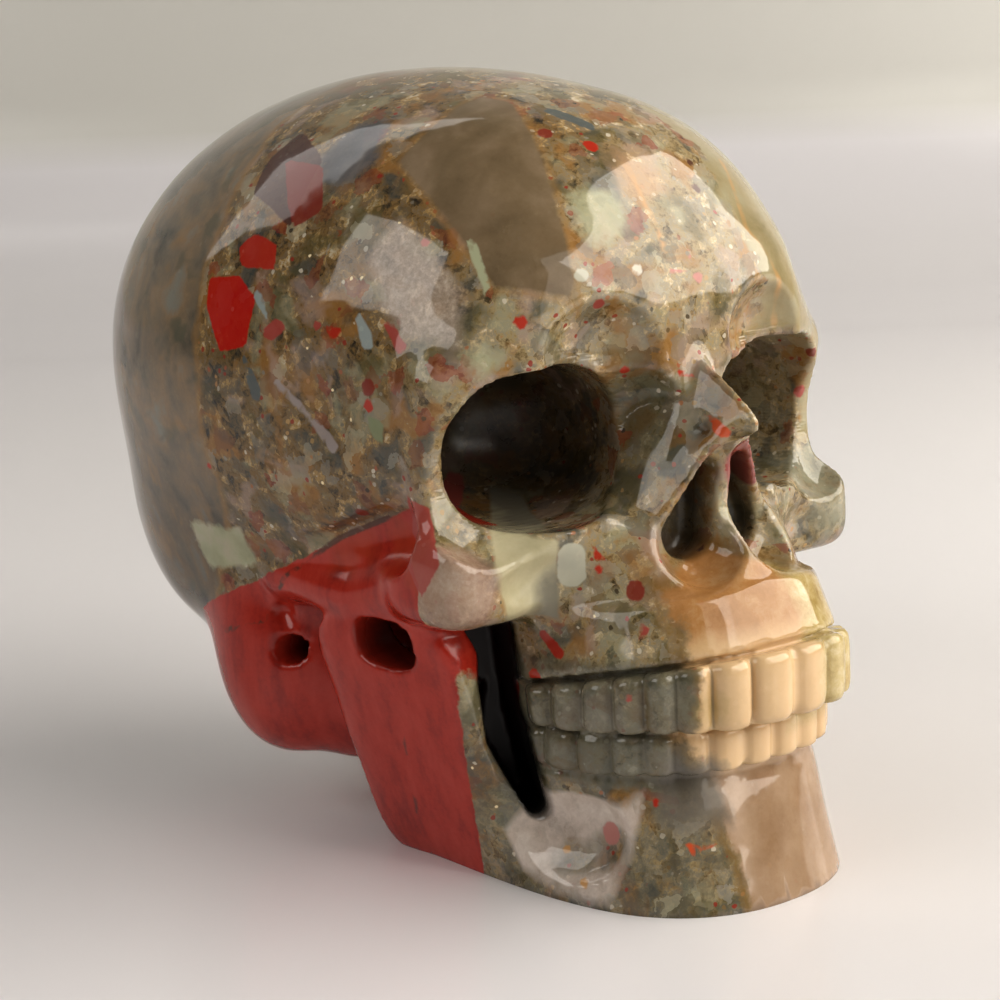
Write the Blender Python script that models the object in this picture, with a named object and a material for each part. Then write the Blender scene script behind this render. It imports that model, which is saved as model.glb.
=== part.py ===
"""A small human skull carved in the round from one piece of brecciated jasper and chalcedony.

Lengths in the recipe are millimetres. The face looks along -Y, the skull's left side is +X,
and the jaw stands on Z = 0. The stone is described as a distance field, which a volume turns
into one closed mesh: negative inside the stone, positive outside. The right half mirrors the
left one, because every point is read at the absolute value of its X.
"""
import math

import bmesh
import bpy

MM = 0.001

# The block that holds the carving, and the mesh made from it
BLOCK_LOW = (-23.0, -31.0, -3.0)
BLOCK_HIGH = (23.0, 34.0, 52.0)
CELL = 0.45
FACETS_KEPT = 0.064

# Brain case: centre and radii of the rounded masses that make it
CASE = ((0, 7.5, 30.3), (19.3, 24.4, 18.4))
NAPE = ((0, 12.0, 20.0), (17.0, 17.8, 14.8))
FOREHEAD = ((0, -3.8, 31.4), (16.6, 15.6, 15.4))
TEMPLES = ((0, -7.2, 26.0), (15.6, 12.6, 10.0))
UNDERSIDE_POINT = (0, 6, 5.8)
UNDERSIDE_SLOPE = (0, 0.30, -1)
MASTOID = ((12.9, 5.8, 11.2), (4.0, 5.4, 6.4))

# Brow and eye sockets
BROW = ((0, -14.8, 36.0), (10.2, 4.5, 3.2))
BROW_END = ((9.6, -16.4, 33.4), (14.2, -13.9, 31.2))
OUTER_RIM = ((14.2, -14.0, 30.5), (13.8, -13.4, 21.5))
INNER_RIM = ((3.4, -18.2, 31.6), (4.4, -18.4, 25.0))
BROW_HOLLOW = ((7.8, -21.0, 33.6), (6.4, 2.9, 2.5))
SOCKET = ((9.1, -14.6, 27.4), (5.8, 7.2, 4.9))
SOCKET_TURN = 20

# Cheek and the arch that runs back from it to the ear
CHEEK = ((13.4, -14.0, 19.9), (3.5, 3.7, 2.9))
CHEEK_ARCH = ((14.0, -13.0, 19.4), (14.8, -6.0, 17.8), (14.8, 2.0, 17.8))
TEMPLE_HOLLOW = ((17.6, -7.0, 21.6), (2.4, 4.6, 2.2))

# Nose
NOSE_ROOT = (0, -17.0, 31.2)
NOSE_TIP = (0, -24.6, 27.6)
NOSE_WING = ((0.9, -24.3, 27.2), (3.6, -19.8, 21.0))
NOSE_FLOOR = ((0, -18.5, 27.0), (1.8, -20.0, 20.5))
NOSTRIL = ((2.3, -23.0, 21.9), (1.7, 4.6, 2.9))
NOSTRIL_TOP = ((1.2, -24.6, 25.4), (2.2, -21.0, 22.0))

# Jaws
PALATE = ((0, -12.5, 18.0), (9.6, 12.6, 7.0))
GUM_ROW = (-14.2, 8.9, 12.0)
CHIN_ROW = (-13.6, 9.2, 11.8)
FOOT_ROW = (-13.2, 9.9, 14.2)
JAW_BRANCH = ((11.6, -8.5, 7.6), (1.6, 6.3, 10.0))
BRANCH_TURNS = (("Z", -8), ("Y", 17))
NECK = ((0, 0, 8.0), (4.3, 8.0, 8.0))

# Teeth: widths from the middle line back, along the outline of each row
UPPER_ROW = (-14.1, 10.4, 14.1)
UPPER_WIDTHS = (3.2, 2.6, 2.2, 2.0, 2.0, 2.2, 2.4, 2.4)
LOWER_ROW = (-14.1, 9.9, 12.2)
LOWER_WIDTHS = (2.3, 2.3, 2.2, 2.0, 2.0, 2.4, 2.6, 2.4)
ROW_SQUARENESS = 2.4

# Drilled and sawn hollows at the side of the jaw
SLOT_MOUTH = (11.1, -14.6, 0)
SLOT_LINE = ((0.0, 0, 16.0), (0.0, 0, 13.0), (-0.4, 0, 9.5), (-2.0, 0, 5.0))
SLOT_RADII = (0.9, 1.2, 1.2, 0.6)
NOTCH_HOLE = ((17.5, -8.6, 15.1), (11.0, -6.5, 15.1))
EAR_HOLE = ((18.0, 0.2, 13.1), (12.5, 0.8, 13.1))

AXES = {"X": (1, 0, 0), "Y": (0, 1, 0), "Z": (0, 0, 1)}


class Field:
    """A number or a vector at every point of the block, worked out by nodes of one tree."""

    tree = None

    def __init__(self, socket):
        self.socket = socket

    def __add__(self, other):
        return calculate("ADD", self, other)

    def __sub__(self, other):
        return calculate("SUBTRACT", self, other)

    def __mul__(self, other):
        return calculate("MULTIPLY", self, other)

    def __truediv__(self, other):
        return calculate("DIVIDE", self, other)

    def __pow__(self, other):
        return calculate("POWER", self, other)

    def __neg__(self):
        return calculate("MULTIPLY", self, -1.0)


def is_vector(value):
    """True for a vector field or a row of three numbers."""
    if isinstance(value, Field):
        return value.socket.type == "VECTOR"
    return isinstance(value, tuple)


def add_node(kind, inputs, output=0, **settings):
    """Adds a node, fills its inputs in order and returns one of its outputs as a field."""
    node = Field.tree.nodes.new(kind)
    for name, value in settings.items():
        setattr(node, name, value)
    for socket, value in zip(node.inputs, inputs):
        if isinstance(value, Field):
            Field.tree.links.new(value.socket, socket)
        elif value is not None:
            socket.default_value = value
    return Field(node.outputs[output])


def calculate(operation, *inputs):
    """One step of arithmetic, on vectors where an input is a vector."""
    vectors = any(is_vector(value) for value in inputs)
    kind = "ShaderNodeVectorMath" if vectors else "ShaderNodeMath"
    return add_node(kind, inputs, operation=operation)


def length(vector):
    return add_node("ShaderNodeVectorMath", (vector,), output=1, operation="LENGTH")


def dot(vector, other):
    return add_node("ShaderNodeVectorMath", (vector, other), output=1, operation="DOT_PRODUCT")


def scaled(vector, factor):
    return add_node("ShaderNodeVectorMath", (vector, None, None, factor), operation="SCALE")


def clamp(number):
    return add_node("ShaderNodeClamp", (number, 0.0, 1.0))


def turned(point, axis, degrees):
    """The point as read in axes that are turned by the given angle."""
    angle = math.radians(-degrees)
    return add_node("ShaderNodeVectorRotate", (point, (0, 0, 0), AXES[axis], angle),
                    rotation_type="AXIS_ANGLE")


def split(vector):
    node = Field.tree.nodes.new("ShaderNodeSeparateXYZ")
    Field.tree.links.new(vector.socket, node.inputs[0])
    return [Field(output) for output in node.outputs]


def least(first, *others):
    for other in others:
        first = calculate("MINIMUM", first, other)
    return first


def join(first, second, blend):
    """Two masses as one, with a rounded fillet between them."""
    return calculate("SMOOTH_MIN", first, second, blend)


def both(first, second, blend):
    """What two masses share, with a rounded edge."""
    return calculate("SMOOTH_MAX", first, second, blend)


def cut(mass, hollow, blend):
    """A mass with a hollow taken out of it."""
    return both(mass, -hollow, blend)


def local(point, centre, turns):
    point = point - centre
    for axis, degrees in turns:
        point = turned(point, axis, degrees)
    return point


def egg(point, centre, radii, turns=()):
    """An ellipsoid."""
    inner = local(point, centre, turns) / radii
    size = length(inner)
    slope = length(inner / radii)
    return (size - 1.0) * size / calculate("MAXIMUM", slope, 0.0001)


def boulder(point, centre, radii, squareness, turns=()):
    """An ellipsoid that swells towards the corners of its box."""
    inner = calculate("ABSOLUTE", local(point, centre, turns) / radii)
    x, y, z = split(inner)
    size = (x ** squareness + y ** squareness + z ** squareness) ** (1.0 / squareness)
    return (size - 1.0) * min(radii)


def rod(point, start, end, radius, end_radius=None):
    """A round-ended rod, which may taper."""
    end_radius = radius if end_radius is None else end_radius
    run = tuple(b - a for a, b in zip(start, end))
    square = sum(part * part for part in run)
    inner = point - start
    share = clamp(dot(inner, tuple(part / square for part in run)))
    return length(inner - scaled(run, share)) - (share * (end_radius - radius) + radius)


def path(point, stops, radii):
    """Rods end to end."""
    spans = zip(stops, stops[1:], radii, radii[1:])
    return least(*[rod(point, *span) for span in spans])


def slab(point, centre, halves, edge, turns=()):
    """A rectangular block with rounded edges."""
    reach = tuple(half - edge for half in halves)
    inner = calculate("ABSOLUTE", local(point, centre, turns)) - reach
    x, y, z = split(inner)
    deepest = calculate("MAXIMUM", calculate("MAXIMUM", x, y), z)
    outside = length(calculate("MAXIMUM", inner, (0.0, 0.0, 0.0)))
    return outside + least(deepest, 0.0) - edge


def beyond(point, place, direction):
    """Distance past a plane."""
    size = math.sqrt(sum(part * part for part in direction))
    return dot(point - place, tuple(part / size for part in direction))


def row(point, middle, half_width, half_depth):
    """An upright column with the outline of a row of teeth."""
    x, y, z = split(calculate("ABSOLUTE", (point - (0, middle, 0)) / (half_width, half_depth, 1)))
    size = (x ** ROW_SQUARENESS + y ** ROW_SQUARENESS) ** (1.0 / ROW_SQUARENESS)
    return (size - 1.0) * ((half_width + half_depth) / 2)


def row_place(middle, half_width, half_depth, distance):
    """Where a row's outline is at a distance from its front, and the way it faces there."""
    steps = 4000
    walked = 0.0
    last = (0.0, middle - half_depth)
    for step in range(1, steps):
        angle = math.pi / 2 * step / steps
        x = half_width * math.sin(angle) ** (2 / ROW_SQUARENESS)
        y = middle - half_depth * math.cos(angle) ** (2 / ROW_SQUARENESS)
        walked += math.dist((x, y), last)
        if walked >= distance:
            break
        last = (x, y)
    facing = math.degrees(math.atan2(y - last[1], x - last[0]))
    return x, y, facing


def tooth_row(point, outline, widths, low, high, thickness, squareness):
    """Teeth side by side along a row, as squarish lumps."""
    teeth = []
    start = 0.0
    for width in widths:
        x, y, facing = row_place(*outline, start + width / 2)
        start += width
        inward = (-math.sin(math.radians(facing)), math.cos(math.radians(facing)))
        centre = (x + inward[0] * thickness, y + inward[1] * thickness, (low(y) + high(y)) / 2)
        radii = (width * 0.54, thickness, (high(y) - low(y)) / 2)
        teeth.append(boulder(point, centre, radii, squareness, (("Z", facing),)))
    return least(*teeth)


def upper_edge(y):
    """Height of the biting edge, which falls a little towards the back."""
    return 11.0 - 0.07 * (y + 27)


def gum_line(y):
    return 15.3 - 0.21 * (y + 27)


def lower_gum_line(y):
    return 8.2 - 0.04 * (y + 27)


def brain_case(point):
    mass = join(egg(point, *CASE), egg(point, *NAPE), 6.0)
    mass = join(mass, boulder(point, *FOREHEAD, 2.4), 9.0)
    mass = join(mass, boulder(point, *TEMPLES, 3.0), 4.0)
    mass = both(mass, beyond(point, UNDERSIDE_POINT, UNDERSIDE_SLOPE), 8.0)
    return join(mass, egg(point, *MASTOID), 4.0)


def brow(point, mass):
    mass = join(mass, boulder(point, *BROW, 2.4), 3.0)
    mass = join(mass, rod(point, *BROW_END, 1.3, 1.4), 3.0)
    mass = join(mass, rod(point, *OUTER_RIM, 1.4, 1.9), 2.0)
    mass = join(mass, rod(point, *INNER_RIM, 1.3, 1.3), 2.0)
    return cut(mass, egg(point, *BROW_HOLLOW, (("Z", 8),)), 0.9)


def cheeks(point, mass):
    mass = join(mass, boulder(point, *CHEEK, 3.6), 2.2)
    mass = join(mass, path(point, CHEEK_ARCH, (2.0, 1.3, 1.6)), 1.5)
    return cut(mass, egg(point, *TEMPLE_HOLLOW), 1.2)


def nose(point, mass):
    bridge = rod(point, NOSE_ROOT, NOSE_TIP, 2.0, 1.4)
    bridge = join(bridge, rod(point, *NOSE_WING, 1.2, 1.7), 1.5)
    bridge = join(bridge, rod(point, *NOSE_FLOOR, 3.0, 3.4), 2.0)
    return join(mass, bridge, 2.0)


def jaws(point, mass):
    height = split(point)[2]
    gum = both(row(point, *GUM_ROW), calculate("ABSOLUTE", height - 13.0) - 4.0, 2.0)
    mass = join(mass, join(egg(point, *PALATE), gum, 3.0), 3.0)
    chin = both(row(point, *CHIN_ROW), height - 10.6, 1.5)
    foot = both(row(point, *FOOT_ROW), height - 1.4, 1.5)
    lower = join(chin, foot, 4.0)
    lower = join(lower, boulder(point, *JAW_BRANCH, 5.0, BRANCH_TURNS), 2.0)
    mass = join(mass, lower, 1.2)
    return join(mass, slab(point, *NECK, 1.5), 3.0)


def teeth(point, mass):
    upper = tooth_row(point, UPPER_ROW, UPPER_WIDTHS, upper_edge, gum_line, 1.5, 3.0)
    lower = tooth_row(point, LOWER_ROW, LOWER_WIDTHS, lower_gum_line, upper_edge, 1.3, 4.0)
    return join(mass, least(upper, lower), 0.5)


def hollows(point, mass):
    mass = cut(mass, boulder(point, *SOCKET, 2.5, (("Z", SOCKET_TURN),)), 0.4)
    nostril = join(egg(point, *NOSTRIL, (("X", -25),)), rod(point, *NOSTRIL_TOP, 0.8, 1.6), 0.6)
    mass = cut(mass, nostril, 0.4)
    inner = turned(point - SLOT_MOUTH, "Z", 25)
    slot = both(path(inner * (1, 0, 1), SLOT_LINE, SLOT_RADII), beyond(inner, (0, 6, 0), AXES["Y"]), 0.5)
    mass = cut(mass, slot, 0.4)
    mass = cut(mass, rod(point, *NOTCH_HOLE, 1.5), 0.3)
    return cut(mass, rod(point, *EAR_HOLE, 0.95), 0.3)


def skull_field():
    """Distance from the surface of the whole carving."""
    here = add_node("GeometryNodeInputPosition", ())
    x, y, z = split(scaled(here, 1.0 / MM))
    point = add_node("ShaderNodeCombineXYZ", (calculate("ABSOLUTE", x), y, z))
    mass = brain_case(point)
    for carve in (brow, cheeks, jaws, nose, teeth, hollows):
        mass = carve(point, mass)
    return mass


def carving_tree():
    """Node tree that fills the block with the field and keeps the surface where it is zero."""
    tree = bpy.data.node_groups.new("skull_carving", "GeometryNodeTree")
    tree.interface.new_socket("Geometry", in_out="OUTPUT", socket_type="NodeSocketGeometry")
    Field.tree = tree
    low = tuple(part * MM for part in BLOCK_LOW)
    high = tuple(part * MM for part in BLOCK_HIGH)
    counts = [round((b - a) / CELL) for a, b in zip(BLOCK_LOW, BLOCK_HIGH)]
    block = add_node("GeometryNodeVolumeCube", (-skull_field(), -1.0, low, high, *counts))
    mesh = add_node("GeometryNodeVolumeToMesh", (block,))
    mesh.socket.node.inputs["Threshold"].default_value = 0.0
    output = tree.nodes.new("NodeGroupOutput")
    tree.links.new(mesh.socket, output.inputs[0])
    return tree


def stone():
    """Mottled stone, here as its average colour under a polish."""
    material = bpy.data.materials.new("bloodstone")
    material.use_nodes = True
    shader = material.node_tree.nodes["Principled BSDF"]
    shader.inputs["Base Color"].default_value = (0.30, 0.22, 0.16, 1.0)
    shader.inputs["Roughness"].default_value = 0.12
    shader.inputs["Metallic"].default_value = 0.0
    material.diffuse_color = (0.30, 0.22, 0.16, 1.0)
    return material


def evaluated_mesh(carving):
    graph = bpy.context.evaluated_depsgraph_get()
    return bpy.data.meshes.new_from_object(carving.evaluated_get(graph))


def make_skull():
    mesh = bpy.data.meshes.new("skull")
    skull = bpy.data.objects.new("skull", mesh)
    bpy.context.scene.collection.objects.link(skull)
    skull.modifiers.new("carving", "NODES").node_group = carving_tree()
    facets = skull.modifiers.new("facets", "DECIMATE")
    facets.ratio = FACETS_KEPT
    facets.use_symmetry = True
    facets.symmetry_axis = "X"
    skull.data = evaluated_mesh(skull)
    skull.modifiers.clear()
    stand_flat(skull.data)
    skull.data.materials.append(stone())
    skull.data.shade_smooth()
    skull.data.set_sharp_from_angle(angle=math.radians(40))
    return skull


def stand_flat(mesh):
    """Saws the carving off level with the table and closes the cut."""
    body = bmesh.new()
    body.from_mesh(mesh)
    everything = body.verts[:] + body.edges[:] + body.faces[:]
    bmesh.ops.bisect_plane(body, geom=everything, plane_co=(0, 0, 0), plane_no=(0, 0, 1),
                           clear_inner=True)
    rim = [edge for edge in body.edges if edge.is_boundary]
    bmesh.ops.holes_fill(body, edges=rim)
    bmesh.ops.triangulate(body, faces=body.faces[:])
    body.to_mesh(mesh)
    body.free()


def main():
    for old in list(bpy.data.objects):
        bpy.data.objects.remove(old)
    make_skull()


main()
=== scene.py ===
"""Dresses a small skull carving in brecciated jasper and chalcedony, and sets it in a studio.

Lengths in the recipe are millimetres. The face looks along -Y, the skull's left side is +X,
and the jaw stands on Z = 0.
"""
import math

import bmesh
import bpy
from mathutils import Matrix, Vector


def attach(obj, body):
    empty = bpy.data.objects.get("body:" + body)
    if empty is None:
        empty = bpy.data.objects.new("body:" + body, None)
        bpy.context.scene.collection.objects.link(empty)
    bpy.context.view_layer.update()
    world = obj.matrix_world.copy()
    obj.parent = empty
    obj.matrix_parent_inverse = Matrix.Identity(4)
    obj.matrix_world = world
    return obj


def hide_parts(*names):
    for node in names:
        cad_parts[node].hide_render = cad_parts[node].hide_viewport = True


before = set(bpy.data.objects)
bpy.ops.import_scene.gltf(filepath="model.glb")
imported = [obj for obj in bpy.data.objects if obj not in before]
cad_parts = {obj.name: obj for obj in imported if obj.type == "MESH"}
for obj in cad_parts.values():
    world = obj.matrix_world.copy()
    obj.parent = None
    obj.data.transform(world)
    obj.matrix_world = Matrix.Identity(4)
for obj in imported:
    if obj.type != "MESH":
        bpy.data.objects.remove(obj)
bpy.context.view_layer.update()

bl_info = {
    "name": "Stone skull carving",
    "version": (1, 0, 0),
    "blender": (4, 5, 0),
    "location": "3D View > Sidebar > Carving",
    "description": "A hand-polished skull in brecciated stone, with a plain studio",
    "category": "Object",
}

MM = 0.001
AXES = {"X": (1, 0, 0), "Y": (0, 1, 0), "Z": (0, 0, 1)}

# The block that holds the carving
BLOCK_LOW = (-21.0, -30.0, -2.0)
BLOCK_HIGH = (21.0, 33.5, 50.5)

# Brain case: centre and radii of the rounded masses that make it
CASE = ((0, 7.5, 30.3), (19.3, 24.4, 18.4))
NAPE = ((0, 12.0, 20.0), (17.0, 17.8, 14.8))
FOREHEAD = ((0, -3.8, 31.4), (16.6, 15.6, 15.4))
TEMPLES = ((0, -7.2, 26.0), (15.6, 12.6, 10.0))
TEMPLE_FLAT = ((21.6, -9.0, 29.5), (4.5, 7.0, 8.0))
UNDERSIDE_POINT = (0, 6, 5.8)
UNDERSIDE_SLOPE = (0, 0.30, -1)
MASTOID = ((12.9, 6.0, 11.2), (4.0, 5.6, 6.4))
SKULL_BASE = ((8.6, 2.6, 9.6), (5.6, 5.0, 5.4))

# Brow and eye sockets
BROW = ((0, -14.8, 36.0), (10.2, 4.5, 3.2))
BROW_END = ((9.6, -16.4, 33.4), (14.2, -13.9, 31.2))
OUTER_RIM = ((14.2, -14.0, 30.5), (13.8, -13.4, 21.5))
INNER_RIM = ((3.2, -16.6, 31.6), (4.2, -17.2, 25.0))
BROW_HOLLOW = ((7.3, -22.6, 32.4), (5.2, 5.0, 4.1))
SOCKET = ((8.75, -14.6, 27.0), (5.6, 9.0, 4.95))
SOCKET_TURN = 20
SOCKET_DISH = ((12.8, -18.9, 25.7), (6.0, 3.4, 5.1))

# Cheek, the arch that runs back from it, and the hollow above the arch
CHEEK = ((13.4, -14.0, 19.9), (3.5, 3.7, 2.9))
CHEEK_ARCH = ((14.0, -13.0, 19.4), (14.8, -6.0, 17.8), (14.8, 2.0, 17.8))
CHEEK_FACE = ((10.4, -20.6, 19.0), (4.4, 3.2, 2.8))
TEMPLE_HOLLOW = ((17.3, -12.6, 25.8), (16.8, -11.7, 22.2), (16.9, -7.0, 21.0), (17.0, -2.0, 20.0))
TEMPLE_HOLLOW_RADII = (0.9, 2.2, 1.6, 0.8)
ARCH_CREASE = ((16.2, 0.2, 16.0), (16.7, -5.4, 15.7), (15.6, -12.4, 15.3))
MASTOID_CREASE = ((15.4, 2.2, 15.2), (16.2, -1.0, 12.0), (14.6, -1.8, 6.0))

# Nose
NOSE_ROOT = (0, -17.0, 31.2)
NOSE_TIP = (0, -25.5, 27.9)
NOSE_SIDE = ((1.5, -23.2, 26.8), (0.867, -0.294, 0.402))
NOSE_FRONT = ((1.5, -23.2, 26.8), (0.143, -0.929, -0.338))
NOSE_UNDERSIDE = ((1.2, -23.0, 27.2), (0.58, -0.34, -0.74))
NOSE_WING = ((0.9, -23.9, 26.4), (4.0, -20.8, 20.5))
NOSE_FLANK = ((5.2, -20.6, 27.2), (4.2, 4.2, 4.6))
NOSE_FLOOR = ((0, -18.5, 27.0), (1.8, -20.0, 20.5))
NOSE_OPENING = ((1.0, -23.6, 25.5), (2.9, -23.7, 21.7))
NOSTRIL = ((1.25, 0, 25.2), (2.2, 0, 21.5))
NOSTRIL_RADII = (0.75, 1.55)
NOSTRIL_FLOOR = (0, -19.4, 0)
SEPTUM_CUT = ((0, -25.4, 23.6), (2.0, 1.9, 3.0))

# Jaws
PALATE = ((0, -12.5, 18.0), (9.6, 12.6, 7.0))
GUM_ROW = (-14.2, 8.8, 11.3)
GUM_FLARE = (0.26, 0.45)
CHIN_ROW = (-13.6, 9.2, 11.5)
CHIN_FLARE = (0.12, 0.29)
JAW_BRANCH = ((11.7, -7.6, 8.2), (1.6, 6.3, 9.0))
BRANCH_TURNS = (("Z", -8), ("Y", 17), ("X", -5))
JAW_HOLLOW = ((11.2, -17.4, 4.4), (5.7, 2.7, 3.6))
JAW_HOLLOW_TURN = 61
NECK = ((0, 0, 8.0), (4.3, 8.0, 8.0))

# Teeth: widths from the middle line back, along the outline of each row
UPPER_ROW = (-14.1, 10.4, 14.1)
UPPER_WIDTHS = (3.2, 2.6, 2.2, 2.0, 2.0, 2.2, 2.4, 2.4)
LOWER_ROW = (-14.1, 9.9, 12.2)
LOWER_WIDTHS = (2.3, 2.3, 2.2, 2.0, 2.0, 2.4, 2.6, 2.4)
ROW_SQUARENESS = 2.4
TOOTH_TWISTS = (5, -6, 4, -3)
TEETH_END = -15.0

# Drilled and sawn hollows at the side of the jaw
SLOT_MOUTH = (11.1, -14.6, 0)
SLOT_TURN = 25
SLOT_LINE = ((0.0, 0, 16.0), (0.0, 0, 13.0), (-0.4, 0, 9.5), (-2.0, 0, 5.0))
SLOT_RADII = (0.9, 1.2, 1.2, 0.6)
NOTCH_HOLE = ((14.0, -8.3, 15.0), (4.0, 2.6, 1.6))
EAR_HOLE = ((18.0, 1.7, 12.8), (12.5, 2.0, 12.8))
EAR_TROUGH = ((17.4, 0.6, 12.2), (15.2, -1.2, 10.0))


# Fields: numbers, vectors and colours that differ from place to place, worked out by nodes


class Field:
    """A node's output, which adds the nodes of any sum that it is used in."""

    tree = None

    def __init__(self, socket):
        self.socket = socket

    def __add__(self, other): return calculate("ADD", self, other)
    def __radd__(self, other): return calculate("ADD", other, self)
    def __sub__(self, other): return calculate("SUBTRACT", self, other)
    def __rsub__(self, other): return calculate("SUBTRACT", other, self)
    def __mul__(self, other): return calculate("MULTIPLY", self, other)
    def __rmul__(self, other): return calculate("MULTIPLY", other, self)
    def __truediv__(self, other): return calculate("DIVIDE", self, other)
    def __rtruediv__(self, other): return calculate("DIVIDE", other, self)
    def __pow__(self, other): return calculate("POWER", self, other)

    def __neg__(self):
        return calculate("MULTIPLY", self, -1.0)


def add_node(kind, settings, inputs, output=0):
    """Adds a node: its settings first, then the values or links of its sockets."""
    node = Field.tree.nodes.new(kind)
    for name, value in settings.items():
        if name == "stops":
            set_stops(node.color_ramp, value)
        else:
            setattr(node, name, value)
    pairs = inputs.items() if isinstance(inputs, dict) else enumerate(inputs)
    for key, value in pairs:
        if isinstance(value, Field):
            Field.tree.links.new(value.socket, node.inputs[key])
        elif value is not None:
            node.inputs[key].default_value = value
    return Field(node.outputs[output])


def set_stops(ramp, stops):
    """Fills a colour ramp from (place, colour) pairs in rising order."""
    while len(ramp.elements) < len(stops):
        ramp.elements.new(1.0)
    for element, (place, colour) in zip(ramp.elements, stops):
        element.position = place
        element.color = (*colour, 1.0)


def is_vector(value):
    """True for a vector or colour field or a row of three numbers."""
    if isinstance(value, Field):
        return value.socket.type in ("VECTOR", "RGBA")
    return isinstance(value, tuple)


def calculate(operation, *inputs):
    """One step of arithmetic, on vectors where an input is a vector."""
    vectors = any(is_vector(value) for value in inputs)
    kind = "ShaderNodeVectorMath" if vectors else "ShaderNodeMath"
    return add_node(kind, {"operation": operation}, inputs)


def length(vector):
    return add_node("ShaderNodeVectorMath", {"operation": "LENGTH"}, (vector,), 1)


def distance(vector, other):
    return add_node("ShaderNodeVectorMath", {"operation": "DISTANCE"}, (vector, other), 1)


def dot(vector, other):
    return add_node("ShaderNodeVectorMath", {"operation": "DOT_PRODUCT"}, (vector, other), 1)


def scaled(vector, factor):
    return add_node("ShaderNodeVectorMath", {"operation": "SCALE"}, {0: vector, 3: factor})


def clamp(number):
    return add_node("ShaderNodeClamp", {}, (number, 0.0, 1.0))


def turned(point, axis, degrees):
    """The point as read in axes that are turned by the given angle."""
    settings = {"rotation_type": "AXIS_ANGLE"}
    inputs = (point, (0, 0, 0), AXES[axis], math.radians(-degrees))
    return add_node("ShaderNodeVectorRotate", settings, inputs)


def split(vector):
    node = add_node("ShaderNodeSeparateXYZ", {}, (vector,)).socket.node
    return [Field(output) for output in node.outputs]


def merged(x, y, z):
    return add_node("ShaderNodeCombineXYZ", {}, (x, y, z))


def least(first, *others):
    for other in others:
        first = calculate("MINIMUM", first, other)
    return first


def most(first, *others):
    for other in others:
        first = calculate("MAXIMUM", first, other)
    return first


def magnitude(value):
    return calculate("ABSOLUTE", value)


# Solids of the carving, each as the distance from its surface, negative inside


def join(first, second, blend):
    """Two masses as one, with a rounded fillet between them."""
    return calculate("SMOOTH_MIN", first, second, blend)


def both(first, second, blend):
    """What two masses share, with a rounded edge."""
    return calculate("SMOOTH_MAX", first, second, blend)


def cut(mass, hollow, blend):
    """A mass with a hollow taken out of it."""
    return both(mass, -hollow, blend)


def local(point, centre, turns):
    point = point - centre
    for axis, degrees in turns:
        point = turned(point, axis, degrees)
    return point


def egg(point, centre, radii, turns=()):
    """An ellipsoid."""
    inner = local(point, centre, turns) / radii
    size = length(inner)
    slope = length(inner / radii)
    return (size - 1.0) * size / most(slope, 0.0001)


def boulder(point, centre, radii, squareness, turns=()):
    """An ellipsoid that swells towards the corners of its box."""
    x, y, z = split(magnitude(local(point, centre, turns) / radii))
    size = (x ** squareness + y ** squareness + z ** squareness) ** (1.0 / squareness)
    return (size - 1.0) * min(radii)


def rod(point, start, end, radius, end_radius=None):
    """A round-ended rod, which may taper."""
    end_radius = radius if end_radius is None else end_radius
    run = tuple(b - a for a, b in zip(start, end))
    square = sum(part * part for part in run)
    inner = point - start
    share = clamp(dot(inner, tuple(part / square for part in run)))
    reach = distance(inner, scaled(run, share))
    return reach - (radius if end_radius == radius else share * (end_radius - radius) + radius)


def path(point, stops, radii):
    """Rods end to end."""
    spans = zip(stops, stops[1:], radii, radii[1:])
    return least(*[rod(point, *span) for span in spans])


def slab(point, centre, halves, edge, turns=()):
    """A rectangular block with rounded edges."""
    reach = tuple(half - edge for half in halves)
    inner = magnitude(local(point, centre, turns)) - reach
    outside = length(calculate("MAXIMUM", inner, (0.0, 0.0, 0.0)))
    return outside + least(most(*split(inner)), 0.0) - edge


def beyond(point, place, direction):
    """Distance past a plane."""
    size = math.sqrt(sum(part * part for part in direction))
    return dot(point - place, tuple(part / size for part in direction))


def row(point, middle, half_width, half_depth):
    """An upright column with the outline of a row of teeth, which may widen with height."""
    x, y = split(magnitude(point - (0, middle, 0)))[:2]
    across = (x / half_width) ** ROW_SQUARENESS
    along = (y / half_depth) ** ROW_SQUARENESS
    return ((across + along) ** (1.0 / ROW_SQUARENESS) - 1.0) * ((half_width + half_depth) / 2)


def row_place(middle, half_width, half_depth, distance):
    """Where a row's outline is at a distance from its front, and the way it faces there."""
    steps = 800
    walked = 0.0
    last = (0.0, middle - half_depth)
    for step in range(1, steps):
        angle = math.pi / 2 * step / steps
        x = half_width * math.sin(angle) ** (2 / ROW_SQUARENESS)
        y = middle - half_depth * math.cos(angle) ** (2 / ROW_SQUARENESS)
        walked += math.dist((x, y), last)
        if walked >= distance:
            break
        last = (x, y)
    facing = math.degrees(math.atan2(y - last[1], x - last[0]))
    return x, y, facing


# Parts of the skull


def upper_edge(y):
    """Height of the biting edge, which falls a little towards the back."""
    return 11.0 - 0.07 * (y + 27)


def gum_line(y):
    return 15.3 - 0.21 * (y + 27)


def lower_gum_line(y):
    return 8.2 - 0.04 * (y + 27)


def brain_case(point):
    mass = join(egg(point, *CASE), egg(point, *NAPE), 6.0)
    mass = join(mass, boulder(point, *FOREHEAD, 2.4), 9.0)
    mass = join(mass, boulder(point, *TEMPLES, 3.0), 4.0)
    mass = cut(mass, egg(point, *TEMPLE_FLAT), 1.2)
    mass = both(mass, beyond(point, UNDERSIDE_POINT, UNDERSIDE_SLOPE), 8.0)
    mass = join(mass, egg(point, *MASTOID), 5.0)
    return join(mass, egg(point, *SKULL_BASE), 3.0)


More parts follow.
